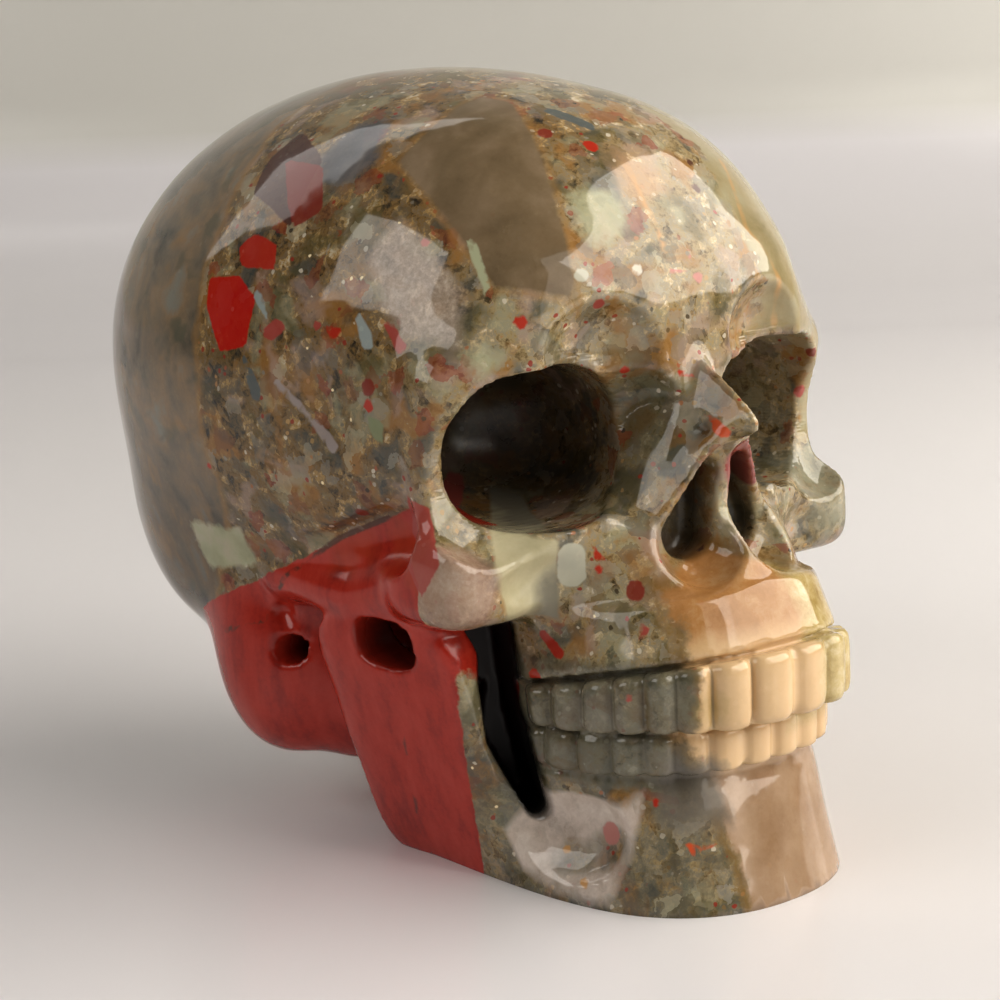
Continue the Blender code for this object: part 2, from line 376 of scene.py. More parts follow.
def brow(point, mass):
    mass = join(mass, boulder(point, *BROW, 2.4), 3.0)
    mass = join(mass, rod(point, *BROW_END, 1.3, 1.4), 3.0)
    mass = join(mass, rod(point, *OUTER_RIM, 1.4, 1.9), 2.0)
    mass = join(mass, rod(point, *INNER_RIM, 1.3, 1.3), 2.0)
    return cut(mass, egg(point, *BROW_HOLLOW), 0.35)


def cheeks(point, mass):
    mass = join(mass, boulder(point, *CHEEK, 3.6), 2.2)
    mass = join(mass, path(point, CHEEK_ARCH, (2.0, 1.3, 1.6)), 1.5)
    mass = cut(mass, egg(point, *CHEEK_FACE, (("Z", 25),)), 0.5)
    mass = cut(mass, path(point, TEMPLE_HOLLOW, TEMPLE_HOLLOW_RADII), 0.5)
    mass = cut(mass, path(point, ARCH_CREASE, (0.5, 0.5, 0.5)), 0.5)
    return cut(mass, path(point, MASTOID_CREASE, (0.6, 0.6, 0.9)), 0.8)


def nose(point, mass):
    side = beyond(point, *NOSE_SIDE)
    mass = cut(mass, both(-side, egg(point, *NOSE_FLANK), 1.0), 0.6)
    rim = join(rod(point, *NOSE_WING, 1.8, 2.4), rod(point, *NOSE_FLOOR, 3.0, 3.4), 2.0)
    rim = both(both(rim, side, 0.4), beyond(point, *NOSE_FRONT), 0.3)
    bones = both(rod(point, NOSE_ROOT, NOSE_TIP, 2.0, 1.5), side, 1.1)
    bones = both(bones, beyond(point, *NOSE_UNDERSIDE), 1.7)
    mass = join(join(mass, rim, 1.2), bones, 0.8)
    mass = cut(mass, rod(point, *NOSE_OPENING, 1.3, 2.9), 0.45)
    return cut(mass, egg(point, *SEPTUM_CUT), 0.4)


def jaws(point, mass):
    forward, height = split(point)[1:]
    middle, half_width, half_depth = GUM_ROW
    core = both(row(point, *GUM_ROW), magnitude(height - 13.0) - 4.0, 2.0)
    mass = join(mass, join(egg(point, *PALATE), core, 3.0), 3.0)
    flare = least(most(19.0 - height, 0.0), 6.0)
    gum = row(point, middle, half_width + flare * GUM_FLARE[0], half_depth + flare * GUM_FLARE[1])
    above_teeth = height - gum_line(forward) - 0.1
    mass = join(mass, both(gum, magnitude(above_teeth - 1.9) - 1.9, 0.7), 1.0)
    middle, half_width, half_depth = CHIN_ROW
    flare = most(7.8 - height, -3.0)
    wide, deep = (size + flare * part for size, part in zip((half_width, half_depth), CHIN_FLARE))
    chin = row(point, middle, wide, deep)
    lower = both(chin, height - 10.6, 1.5)
    lower = join(lower, boulder(point, *JAW_BRANCH, 5.0, BRANCH_TURNS), 2.0)
    lower = cut(lower, egg(point, *JAW_HOLLOW, (("Z", JAW_HOLLOW_TURN),)), 0.5)
    mass = join(mass, lower, 1.2)
    return join(mass, slab(point, *NECK, 1.5), 3.0)


def tooth_row(point, outline, widths, low, high, thickness, corner, rise):
    """Teeth side by side along a row: faceted pegs with flat ends."""
    teeth = []
    start = 0.0
    for number, width in enumerate(widths):
        x, y, facing = row_place(*outline, start + width / 2)
        start += width
        inward = (-math.sin(math.radians(facing)), math.cos(math.radians(facing)))
        centre = (x + inward[0] * thickness, y + inward[1] * thickness, (low(y) + high(y)) / 2)
        radii = (width * 0.55, thickness, (high(y) - low(y)) / 2)
        turns = (("Z", facing + TOOTH_TWISTS[number % len(TOOTH_TWISTS)]),)
        across, deep, up = split(magnitude(local(point, centre, turns) / radii))
        girth = (across ** corner + deep ** corner) ** (1.0 / corner)
        size = (girth ** rise + up ** rise) ** (1.0 / rise)
        teeth.append((size - 1.0) * min(radii))
    return least(*teeth)


def tooth_gaps(point, outline, widths):
    """Distance along a row from the nearest place between two teeth."""
    gaps = []
    start = 0.0
    for width in widths[:-1]:
        start += width
        x, y, facing = row_place(*outline, start)
        turn = math.radians(facing)
        gaps.append(magnitude(dot(point - (x, y, 0), (math.cos(turn), math.sin(turn), 0))))
    return least(*gaps)


def teeth(point, mass):
    """Both rows, with a sawn line above, between and below them."""
    upper = tooth_row(point, UPPER_ROW, UPPER_WIDTHS, upper_edge, gum_line, 1.5, 2.3, 5.0)
    lower = tooth_row(point, LOWER_ROW, LOWER_WIDTHS, lower_gum_line, upper_edge, 1.3, 2.4, 6.0)
    mass = join(mass, least(upper, lower), 0.2)
    y, z = split(point)[1:]
    sawn = ((gum_line(y) + 0.1, UPPER_ROW, 1.5), (upper_edge(y), UPPER_ROW, 1.0),
            (lower_gum_line(y) - 0.1, LOWER_ROW, 1.0), (lower_gum_line(y) - 0.9, LOWER_ROW, 0.9))
    for line, outline, depth in sawn:
        groove = both(magnitude(z - line) - 0.16, -(row(point, *outline) + depth), 0.1)
        mass = cut(mass, most(groove, y - TEETH_END), 0.2)
    rows = ((UPPER_ROW, UPPER_WIDTHS, upper_edge(y), gum_line(y)),
            (LOWER_ROW, LOWER_WIDTHS, lower_gum_line(y), upper_edge(y)))
    for outline, widths, low, high in rows:
        groove = both(tooth_gaps(point, outline, widths) - 0.06, -(row(point, *outline) + 0.6), 0.1)
        mass = cut(mass, most(groove, low - z, z - high), 0.25)
    return mass


def hollows(point, mass):
    mass = cut(mass, egg(point, *SOCKET_DISH, (("Z", 40),)), 0.3)
    mass = cut(mass, boulder(point, *SOCKET, 2.5, (("Z", SOCKET_TURN),)), 0.3)
    nostril = rod(point * (1, 0, 1), *NOSTRIL, *NOSTRIL_RADII)
    nostril = both(nostril, beyond(point, NOSTRIL_FLOOR, AXES["Y"]), 1.0)
    mass = cut(mass, nostril, 0.3)
    inner = turned(point - SLOT_MOUTH, "Z", SLOT_TURN)
    slot = path(inner * (1, 0, 1), SLOT_LINE, SLOT_RADII)
    mass = cut(mass, both(slot, beyond(inner, (0, 6, 0), AXES["Y"]), 0.5), 0.3)
    mass = cut(mass, boulder(point, *NOTCH_HOLE, 2.8), 0.3)
    mass = cut(mass, rod(point, *EAR_TROUGH, 0.9, 0.5), 0.5)
    return cut(mass, rod(point, *EAR_HOLE, 0.95), 0.3)


def skull_field(waviness, seed):
    """Distance from the surface of the whole carving."""
    here = scaled(add_node("GeometryNodeInputPosition", {}, ()), 1.0 / MM)
    x, y, z = split(here)
    point = merged(magnitude(x), y, z)
    mass = brain_case(point)
    for carve in (brow, cheeks, jaws, nose, teeth, hollows):
        mass = carve(point, mass)
    settings = {"noise_dimensions": "4D"}
    inputs = {"Vector": here, "W": seed, "Scale": 0.12, "Detail": 1.0}
    swell = add_node("ShaderNodeTexNoise", settings, inputs)
    return mass + (swell - 0.5) * waviness


def carving_tree(material):
    """Node tree that fills the block with the field and keeps the surface where it is zero."""
    tree = bpy.data.node_groups.new("skull_carving", "GeometryNodeTree")
    face = tree.interface
    face.new_socket("Geometry", in_out="INPUT", socket_type="NodeSocketGeometry")
    for name in ("Cell", "Waviness", "Seed"):
        face.new_socket(name, in_out="INPUT", socket_type="NodeSocketFloat")
    face.new_socket("Geometry", in_out="OUTPUT", socket_type="NodeSocketGeometry")
    Field.tree = tree
    given = [Field(socket) for socket in tree.nodes.new("NodeGroupInput").outputs]
    cell, waviness, seed = given[1:4]
    low = tuple(part * MM for part in BLOCK_LOW)
    high = tuple(part * MM for part in BLOCK_HIGH)
    counts = [(b - a) / cell for a, b in zip(BLOCK_LOW, BLOCK_HIGH)]
    inputs = (-skull_field(waviness, seed), -1.0, low, high, *counts)
    block = add_node("GeometryNodeVolumeCube", {}, inputs)
    mesh = add_node("GeometryNodeVolumeToMesh", {}, {"Volume": block, "Threshold": 0.0})
    mesh = add_node("GeometryNodeSetShadeSmooth", {}, {0: mesh})
    mesh = add_node("GeometryNodeRealizeInstances", {}, {0: mesh})
    mesh = add_node("GeometryNodeSetMaterial", {}, {"Geometry": mesh, "Material": material})
    output = tree.nodes.new("NodeGroupOutput")
    tree.links.new(mesh.socket, output.inputs[0])
    return tree


def drop_bubbles(body):
    """Removes the tiny closed voids that the carving leaves inside the stone."""
    for vert in body.verts:
        vert.tag = False
    shells = []
    for start in body.verts:
        if start.tag:
            continue
        start.tag = True
        shell = [start]
        for vert in shell:
            for edge in vert.link_edges:
                other = edge.other_vert(vert)
                if not other.tag:
                    other.tag = True
                    shell.append(other)
        shells.append(shell)
    for shell in sorted(shells, key=len)[:-1]:
        bmesh.ops.delete(body, geom=shell, context="VERTS")


def stand_flat(mesh):
    """Saws the carving off level with the table and closes the cut."""
    body = bmesh.new()
    body.from_mesh(mesh)
    drop_bubbles(body)
    everything = body.verts[:] + body.edges[:] + body.faces[:]
    bmesh.ops.bisect_plane(body, geom=everything, plane_co=(0, 0, 0), plane_no=(0, 0, 1),
                           clear_inner=True)
    rim = [edge for edge in body.edges if edge.is_boundary]
    sole = bmesh.ops.holes_fill(body, edges=rim)["faces"]
    for face in sole:
        face.smooth = False
    bmesh.ops.triangulate(body, faces=body.faces[:])
    body.to_mesh(mesh)
    body.free()


# Colours of the stone, as the share of light that it gives back

SHADES = {
    "scarlet": (0.50, 0.006, 0.002),
    "red": (0.46, 0.028, 0.012),
    "brick": (0.24, 0.034, 0.020),
    "maroon": (0.085, 0.032, 0.026),
    "maroon red": (0.24, 0.04, 0.035),
    "dusty red": (0.40, 0.075, 0.06),
    "dusty pink": (0.50, 0.20, 0.17),
    "orange red": (0.64, 0.10, 0.03),
    "orange": (0.60, 0.34, 0.13),
    "amber": (0.34, 0.19, 0.065),
    "pale blue": (0.34, 0.39, 0.38),
    "slate": (0.11, 0.13, 0.13),
    "lavender": (0.36, 0.31, 0.29),
    "chalk": (0.52, 0.51, 0.41),
    "white": (0.66, 0.62, 0.52),
    "pale green": (0.42, 0.44, 0.29),
    "leaf green": (0.24, 0.27, 0.15),
    "emerald": (0.09, 0.24, 0.14),
    "dark crystal": (0.10, 0.035, 0.02),
    # Bright colour of the painted glints
    "painted glint": (0.90, 0.76, 0.48),
}

# Marks in the stone: corners of a flat-sided clast, a spot (x, y, z, radius), or a thread
# (x, y, z, x, y, z, radius, radius)
MARKS = (
    ("maroon", ((-12.2, 1.6, 45.3), (-13.6, -2.6, 43.6), (-16.5, -2.9, 39.9), (-15.8, 2.0, 41.7),
                (-14.2, 2.6, 43.7))),
    ("brick", ((-14.1, 0.8, 43.7), (-14.0, -3.0, 43.4), (-15.5, -5.0, 40.8), (-16.5, -3.3, 39.7),
               (-15.7, -1.6, 41.4))),
    ("scarlet", ((-18.5, 3.4, 36.7), (-18.2, 0.5, 37.0), (-18.3, -1.5, 35.7), (-18.9, -1.0, 32.9),
                 (-19.2, 1.4, 32.3), (-18.9, 3.2, 35.0))),
    ("red", ((-17.6, 1.1, 38.6), (-17.1, 0.0, 39.5), (-17.1, -2.3, 38.8), (-17.6, -2.8, 37.4),
             (-18.0, 0.6, 37.4)),
     ((-17.4, -7.4, 34.3), (-17.0, -8.7, 34.2), (-17.3, -7.9, 33.3)),
     ((-7.7, -19.3, 21.4), (-7.2, -20.0, 20.5), (-7.8, -19.5, 20.5)),
     (-17.6, -6.3, 32.1, -17.2, -8.0, 31.5, 0.16, 0.2), (-16.8, -10.5, 29.8, 0.4),
     (-11.3, -17.8, 34.5, 0.42), (-18.7, 4.4, 24.9, 0.3), (-3.0, -14.8, 43.9, 0.5),
     (-4.2, -18.5, 31.1, 0.28), (-1.6, -20.5, 30.8, -0.9, -20.7, 30.6, 0.22, 0.16),
     (-7.7, -19.7, 20.0, 0.26), (-6.7, -22.9, 6.5, 0.28),
     (-9.6, -16.9, 16.0, -9.6, -18.2, 15.1, 0.3, 0.36), (-10.2, -16.5, 13.5, 0.5)),
    ("brick", (-16.8, -10.5, 30.9, 0.5), (-16.2, -8.5, 23.2, 0.4), (-6.6, -21.6, 18.9, 0.6),
     (-5.0, -13.1, 44.8, 0.5), (14.3, -16.0, 30.0, 0.4)),
    ("dusty red", ((-18.5, -2.3, 33.9), (-18.1, -3.7, 34.7), (-18.1, -4.4, 34.0),
                   (-18.6, -2.9, 33.1)),
     ((-7.3, -22.7, 17.3), (-7.0, -23.4, 16.9), (-7.5, -22.8, 16.4)),
     ((-15.6, -12.3, 24.6), (-15.7, -14.4, 24.2), (-16.4, -16.2, 21.3), (-16.9, -14.9, 19.2),
      (-16.8, -13.0, 21.8)),
     (-17.5, -6.8, 34.3, 0.3), (-15.8, -11.5, 34.6, -15.8, -12.5, 33.2, 0.25, 0.36),
     (-6.5, -18.9, 35.5, -6.4, -19.2, 34.5, 0.4, 0.36), (-8.7, -23.1, 13.2, 0.26),
     (14.8, -14.5, 27.3, 0.45)),
    ("dusty pink", (-13.7, -12.5, 39.0, 0.32), (-0.2, -19.7, 37.6, 0.42), (-1.4, -19.9, 36.6, 0.36),
     (0.4, -20.0, 36.2, 0.4), (-7.6, -20.1, 4.2, 0.7)),
    ("orange red", ((-5.8, -24.6, 4.0), (-4.5, -25.4, 3.9), (-5.6, -24.8, 3.4)),
     (-1.5, -21.9, 28.6, -1.1, -23.8, 27.3, 0.3, 0.42)),
    ("pale blue", (-18.2, -1.6, 35.9, -18.4, -2.8, 34.5, 0.32, 0.12),
     (-16.6, -9.6, 34.9, -16.5, -10.4, 33.4, 0.25, 0.42)),
    ("slate", (-3.0, -11.4, 46.0, -1.9, -13.3, 45.0, 0.5, 0.45),
     (-19.0, -1.0, 32.0, -18.9, -1.8, 30.1, 0.3, 0.5)),
    ("lavender", (-18.5, -3.6, 30.7, -17.3, -7.4, 27.2, 0.3, 0.42)),
    ("pale green", ((-12.2, -14.3, 39.1), (-11.8, -14.6, 39.2), (-12.0, -16.5, 35.6),
                    (-12.5, -16.3, 36.0))),
    ("leaf green", ((-16.9, -10.2, 29.3), (-16.5, -11.5, 29.0), (-16.5, -11.4, 27.5),
                    (-16.8, -10.7, 28.0))),
    ("chalk", (-8.8, -18.7, 20.9, -8.7, -18.5, 19.8, 0.8, 0.85), (-7.6, -18.9, 36.9, 0.4)),
    ("white", (-4.0, -19.6, 36.9, 0.34)),
    ("dark crystal", (3.8, -16.0, 42.6, 0.34), (3.1, -17.2, 41.1, 0.36), (-1.1, -21.3, 20.4, 0.28)),
    ("red", ((18.6, 6.0, 30.5), (18.2, 3.0, 32.0), (18.8, 1.2, 28.6), (19.0, 3.6, 26.8)),
     ((14.0, 8.0, 12.0), (13.5, 3.5, 13.5), (13.5, 1.5, 9.5), (13.5, 6.0, 7.5)),
     ((-7.0, 30.5, 27.0), (-3.6, 31.5, 25.5), (-5.5, 30.5, 22.5)), (9.8, -17.6, 4.2, 0.8)),
    ("brick", ((12.5, -3.0, 6.5), (12.5, -8.5, 7.0), (12.5, -9.0, 2.0), (12.5, -4.5, 1.0)),
     ((4.0, 30.0, 33.0), (8.6, 27.5, 35.0), (8.0, 29.0, 30.5)), (17.5, -9.0, 33.0, 0.8)),
    ("pale green", ((17.6, 12.0, 36.0), (15.0, 17.5, 38.0), (16.6, 17.0, 33.0), (18.0, 13.5, 32.0)),
     ((-12.0, 24.0, 33.0), (-9.6, 26.5, 35.0), (-8.5, 28.5, 31.0), (-11.5, 26.0, 29.5))),
    ("orange", (-8.6, -17.2, 2.7, 0.28), (-9.3, -19.2, 1.6, -9.0, -19.6, 0.8, 0.3, 0.2)),
)
# Points along each vein, and its radius
VEINS = {
    "orange vein": (((7.7, -14.7, 42.5), (6.0, -18.5, 38.6), (8.4, -18.9, 35.2),
                     (8.9, -17.9, 32.5)), 0.16),
    "brow vein": (((-1.5, -16.1, 42.7), (-1.6, -19.3, 38.3), (-2.2, -19.9, 34.6)), 0.2),
    "jasper vein": (((-17.4, 8.3, 13.0), (-16.1, 3.4, 14.6), (-16.4, 0.1, 18.1),
                     (-15.7, -5.3, 21.2), (-15.2, -9.9, 23.0)), 0.1),
    "branch vein": (((-14.3, -8.1, 11.5), (-12.9, -7.4, 6.4), (-11.4, -6.3, 1.3)), 0.07),
}
# Corners of the larger clasts
FIELDS = {
    "pane": ((-12.4, -8.3, 43.4), (-5.2, -7.3, 47.0), (-4.4, -9.3, 46.5), (-7.0, -16.0, 41.4),
             (-8.1, -19.0, 35.5), (-11.9, -16.4, 36.4)),
    "quartz": ((-15.6, -9.4, 38.2), (-14.0, -10.6, 40.2), (-13.1, -15.1, 36.2),
               (-14.0, -15.7, 33.3), (-15.7, -12.2, 33.8)),
    "grey quartz": ((-7.0, -23.7, 9.4), (-3.6, -24.9, 9.4), (-3.1, -25.5, 5.2), (-6.5, -23.4, 5.2)),
    "lilac quartz": ((-9.0, -15.6, 6.6), (-7.0, -22.2, 7.0), (-7.7, -22.3, 4.5), (-8.9, -21.1, 0.6),
                     (-10.4, -15.2, 0.9), (-10.7, -13.9, 3.2)),
    "cream stone": ((-12.6, -16.1, 22.6), (-9.4, -17.9, 22.0), (-9.3, -18.0, 17.0),
                    (-12.6, -17.4, 16.6), (-13.6, -17.6, 20.8)),
    "mint stone": ((-17.2, 9.4, 20.6), (-17.0, 3.6, 20.8), (-16.9, 3.4, 18.2), (-17.0, 8.2, 17.4)),
}
SPARKLES = ((-14.1, -10.7, 40.1), (-16.3, -8.8, 37.0), (-16.0, -9.4, 37.1), (-17.7, -6.0, 32.9),
            (-16.8, -5.3, 38.2), (-17.0, -8.9, 28.9), (-17.2, -7.5, 30.5), (-17.4, -6.3, 24.9),
            (-12.3, -13.0, 7.6), (-10.9, -13.4, 5.0), (-8.5, -20.1, 17.5))
HEART = (0, 0, 24)
# Cracks thinner than the spacing of the mesh's points are widened by this at each side
CRACK_ALLOWANCE = 0.08
STONE_IOR = 1.54


def ramp(number, *colours, low=0.3, high=0.7):
    """Colours spread evenly over the middle of a number's range."""
    last = len(colours) - 1
    stops = [(low + (high - low) * place / last, colour) for place, colour in enumerate(colours)]
    return add_node("ShaderNodeValToRGB", {"stops": stops}, (number,))


def blend(first, second, share):
    """Two colours mixed."""
    def four(colour):
        return (*colour, 1.0) if isinstance(colour, tuple) else colour
    inputs = {0: share, 6: four(first), 7: four(second)}
    return add_node("ShaderNodeMix", {"data_type": "RGBA"}, inputs, 2)


def rise(number, low, high):
    """0 up to one value, 1 from another, and a straight climb between them."""
    return add_node("ShaderNodeMapRange", {}, (number, low, high, 0.0, 1.0))


def edge(distance, softness=0.15):
    """1 inside a shape and 0 outside it."""
    return rise(distance, softness / 2, -softness / 2)


def noise(point, size, detail=2.0, roughness=0.5, output=0):
    """Cloudy number, or with output 1 three numbers, whose lumps have the given size."""
    inputs = {"Vector": point, "Scale": 1.0 / size, "Detail": detail, "Roughness": roughness}
    return add_node("ShaderNodeTexNoise", {}, inputs, output)


def crystals(point, size):
    """Packed crystals: distance from a place to its crystal, and three numbers for each."""
    reach = add_node("ShaderNodeTexVoronoi", {}, {"Vector": point, "Scale": 1.0 / size})
    return reach * size, split(Field(reach.socket.node.outputs[1]))


def facet(point, corners):
    """A flat-sided clast: the wedge from the heart of the carving out to corners on its face."""
    corners = [Vector(corner) - Vector(HEART) for corner in corners]
    middle = sum(corners, Vector())
    inner = point - HEART
    sides = []
    for first, second in zip(corners, corners[1:] + corners[:1]):
        out = first.cross(second).normalized()
        if out.dot(middle) > 0:
            out.negate()
        sides.append(dot(inner, tuple(out)))
    return most(*sides)


def mark(point, shape):
    if isinstance(shape[0], tuple):
        return facet(point, shape)
    if len(shape) == 4:
        return ball(point, shape[:3], shape[3])
    return rod(point, shape[:3], shape[3:6], *shape[6:])


def ball(point, centre, radius):
    return distance(point, centre) - radius


def shaken(here):
    """How a place strays for ragged edges, within a millimetre."""
    return noise(here, 1.2, 3.0, 0.65, 1) - (0.5, 0.5, 0.5)


def stored_shapes(here):
    """What the mesh keeps by name: distances from clasts, veins and hollows, and broad clouds."""
    fold = merged(magnitude(split(here)[0]), *split(here)[1:])
    inner = turned(fold - SLOT_MOUTH, "Z", SLOT_TURN)
    wide = tuple(part + 0.35 for part in SOCKET[1])
    shapes = {name: facet(here, corners) for name, corners in FIELDS.items()}
    for name, (stops, radius) in VEINS.items():
        shapes[name] = path(here, stops, (radius,) * len(stops))
    # Hollows, whose distances set where shade is painted and where the stone is left rougher
    shapes["socket"] = boulder(fold, SOCKET[0], wide, 2.5, (("Z", SOCKET_TURN),))
    shapes["slot"] = path(inner * (1, 0, 1), SLOT_LINE, SLOT_RADII) - 0.2
    shapes["drilled"] = least(boulder(fold, *NOTCH_HOLE, 2.8), rod(fold, *EAR_HOLE, 0.95)) - 0.15
    shapes["nostril"] = rod(fold * (1, 0, 1), *NOSTRIL, *NOSTRIL_RADII) - 0.1
    y, z = split(here)[1:]
    # Gaps between the teeth and the sawn lines, where shade is painted into the colour
    upper = most(tooth_gaps(fold, UPPER_ROW, UPPER_WIDTHS), upper_edge(y) - z, z - gum_line(y))
    lower = tooth_gaps(fold, LOWER_ROW, LOWER_WIDTHS)
    lower = most(lower, lower_gum_line(y) - z, z - upper_edge(y))
    lines = (gum_line(y) + 0.1, upper_edge(y), lower_gum_line(y) - 0.1)
    shapes["grime"] = least(upper, lower, *[magnitude(z - line) for line in lines])
    shapes["tooth row"] = row(fold, *UPPER_ROW)
    for number, (_, *group) in enumerate(MARKS):
        shapes[f"mark {number}"] = least(*[mark(here, shape) for shape in group])
    shapes["drift"] = drift = noise(here, 7.0, 2.0, 0.5, 1) - (0.5, 0.5, 0.5)
    zone = here + scaled(shaken(here), 1.6) + scaled(drift, 6.0)
    shapes["stains"] = noise(zone, 3.4, 3.0, 0.62, 1)
    return shapes


def shape_tree(material):
    """Node tree that keeps those distances on the points of the mesh."""
    tree = bpy.data.node_groups.new("stone_shapes", "GeometryNodeTree")
    tree.interface.new_socket("Geometry", in_out="INPUT", socket_type="NodeSocketGeometry")
    tree.interface.new_socket("Geometry", in_out="OUTPUT", socket_type="NodeSocketGeometry")
    Field.tree = tree
    mesh = Field(tree.nodes.new("NodeGroupInput").outputs[0])
    here = scaled(add_node("GeometryNodeInputPosition", {}, ()), 1.0 / MM)
    for name, shape in stored_shapes(here).items():
        settings = {"data_type": "FLOAT_VECTOR" if is_vector(shape) else "FLOAT", "domain": "POINT"}
        inputs = {"Geometry": mesh, "Name": name, "Value": shape}
        mesh = add_node("GeometryNodeStoreNamedAttribute", settings, inputs)
    mesh = add_node("GeometryNodeRealizeInstances", {}, {0: mesh})
    mesh = add_node("GeometryNodeSetMaterial", {}, {"Geometry": mesh, "Material": material})
    output = tree.nodes.new("NodeGroupOutput")
    tree.links.new(mesh.socket, output.inputs[0])
    return tree


def stored(name, output=2):
    """A number that the mesh keeps, or with output 1 three numbers."""
    return add_node("ShaderNodeAttribute", {"attribute_name": name}, (), output)


def bloodstone(finish):
    """Brecciated stone: crystals and broken clasts in a clouded ground, under a polish."""
    material = bpy.data.materials.new("bloodstone")
    material.use_nodes = True
    tree = material.node_tree
    Field.tree = tree
    shader = tree.nodes["Principled BSDF"]
    here = scaled(add_node("ShaderNodeTexCoord", {}, (), 3), 1.0 / MM)
    x, y, z = split(here)
    wobble = shaken(here)
    rag = split(wobble)[0] * 0.4
    drift = stored("drift", 1)
    crisp = here + scaled(wobble, 0.5)
    ragged = here + scaled(wobble, 1.6)
    broken = crisp + scaled(drift, 2.0)
    zone = ragged + scaled(drift, 6.0)
    zx, zy, zz = split(zone)
    ochre, moss, rose = split(stored("stains", 1))
    crumbs = noise(ragged, 1.4, 4.0, 0.7)
    grit = noise(here, 0.3, 2.0, 0.7)
    reach, (speck, tone, depth) = crystals(crisp, 0.55)
    mottle = crumbs * 0.58 + depth * 0.16 + grit * 0.26
    veil = noise(here + scaled(drift, 5.0), 3.0, 2.0, 0.5)
    veil = veil * 0.8 + grit * 0.1 + crumbs * 0.1

    # Granular ground: brown and slate at the side of the head, pale about the face
    brown = ramp(mottle, (0.035, 0.028, 0.02), (0.10, 0.07, 0.035), (0.22, 0.135, 0.05),
                 (0.20, 0.15, 0.09), (0.40, 0.26, 0.10), (0.55, 0.47, 0.33), low=0.33, high=0.68)
    pale = ramp(mottle, (0.08, 0.06, 0.03), (0.22, 0.16, 0.08), (0.38, 0.29, 0.15),
                (0.31, 0.27, 0.19), (0.50, 0.39, 0.22), (0.70, 0.61, 0.46), low=0.33, high=0.68)
    front = most(rise(zy + (z - 27) * 0.1, -11.5, -15.5), rise(x, -4.0, 0.0))
    colour = blend(brown, pale, front)
    for tint, cloud, start, end, strength in (((0.075, 0.085, 0.08), moss, 0.56, 0.63, 0.7),
                                              ((0.34, 0.17, 0.045), ochre, 0.54, 0.62, 0.7),
                                              ((0.42, 0.31, 0.26), rose, 0.55, 0.63, 0.5),
                                              ((0.36, 0.36, 0.24), moss, 0.44, 0.38, 0.45),
                                              ((0.10, 0.085, 0.03), ochre, 0.44, 0.37, 0.6)):
        colour = blend(colour, tint, rise(cloud, start, end) * strength)

    # Nose: dark green; jaw: darker and greyer below the teeth
    bridge = edge(ball(broken, (-3.0, -19.0, 28.2), 3.0), 2.5)
    colour = blend(colour, (0.05, 0.055, 0.03), bridge * 0.65)
    jaw = least(rise(z, 13.0, 9.0), rise(y, -9.0, -13.0))
    colour = blend(colour, (0.07, 0.075, 0.065), jaw * rise(crumbs, 0.38, 0.58) * 0.65)

    # Broken bits, and specks
    pick = crystals(ragged, 1.25)[1][0]
    bits = ramp(pick, (0.50, 0.46, 0.31), (0.36, 0.34, 0.29), (0.08, 0.085, 0.075),
                (0.14, 0.10, 0.045), (0.30, 0.03, 0.015), low=0.76, high=0.99)
    colour = blend(colour, bits, rise(pick, 0.75, 0.77) * 0.42)
    specks = ramp(tone, (0.62, 0.56, 0.44), (0.03, 0.022, 0.015), (0.50, 0.33, 0.14),
                  (0.30, 0.04, 0.025), low=0.15, high=0.85)
    colour = blend(colour, specks, least(rise(reach, 0.17, 0.13), rise(speck, 0.78, 0.79)) * 0.85)

    # Blue-grey quartz behind the maroon clast
    quartz = ramp(veil, (0.05, 0.05, 0.055), (0.11, 0.11, 0.12), (0.2, 0.18, 0.17))
    colour = blend(colour, quartz, edge(ball(zone, (-12.6, -4.4, 44.4), 2.6), 1.0) * 0.9)

    # Smooth grey chalcedony at the back of the head
    smooth = ramp(veil, (0.085, 0.08, 0.065), (0.19, 0.155, 0.11), (0.27, 0.19, 0.115),
                  (0.24, 0.23, 0.19))
    # Darker towards the bottom of the head
    smooth = scaled(smooth, 1.0 - rise(z, 28.0, 20.0) * 0.35)
    back = 3.4 - y + magnitude(z - 31) * 0.09 + rise(z, 24.0, 14.0) * 4 + split(drift)[0] * 3
    back = back + split(wobble)[0] * 1.2
    smooth = blend(smooth, SHADES["amber"], rise(ochre, 0.57, 0.66) * 0.45)
    smooth = blend(smooth, (0.10, 0.11, 0.075), rise(moss, 0.57, 0.64) * 0.5)
    colour = blend(colour, smooth, edge(back, 0.5) * 0.94)
    colour = blend(colour, SHADES["amber"], edge(magnitude(back) - 0.3, 0.6) * 0.55)

    # Clear brown chalcedony on the forehead
    clear = ramp(veil, (0.14, 0.10, 0.055), (0.20, 0.145, 0.085), (0.27, 0.20, 0.13))
    pane = stored("pane") + rag
    colour = blend(colour, clear, edge(pane, 0.35) * 0.96)
    colour = blend(colour, SHADES["amber"], edge(magnitude(pane - 0.2) - 0.16, 0.4) * 0.5)

    # Rosy quartz beside it, and pale green stone at the middle of the forehead
    rosy = ramp(crumbs * 0.6 + grit * 0.4, (0.20, 0.16, 0.12), (0.42, 0.34, 0.27),
                (0.70, 0.60, 0.50))
    quartz = stored("quartz") + rag
    colour = blend(colour, rosy, edge(quartz, 0.8) * 0.8)
    mint = ramp(veil, (0.34, 0.35, 0.22), (0.45, 0.45, 0.30), (0.54, 0.48, 0.37))
    fields = least(ball(zone, (-5.4, -17.2, 40.5), 1.9), ball(zone, (-13.4, -16.5, 33.1), 0.9))
    colour = blend(colour, mint, edge(fields, 0.7) * 0.75)
    warm = edge(ball(zone, (-1.0, -16.6, 42.0), 1.7), 1.4)
    colour = blend(colour, (0.52, 0.33, 0.19), warm * 0.65)

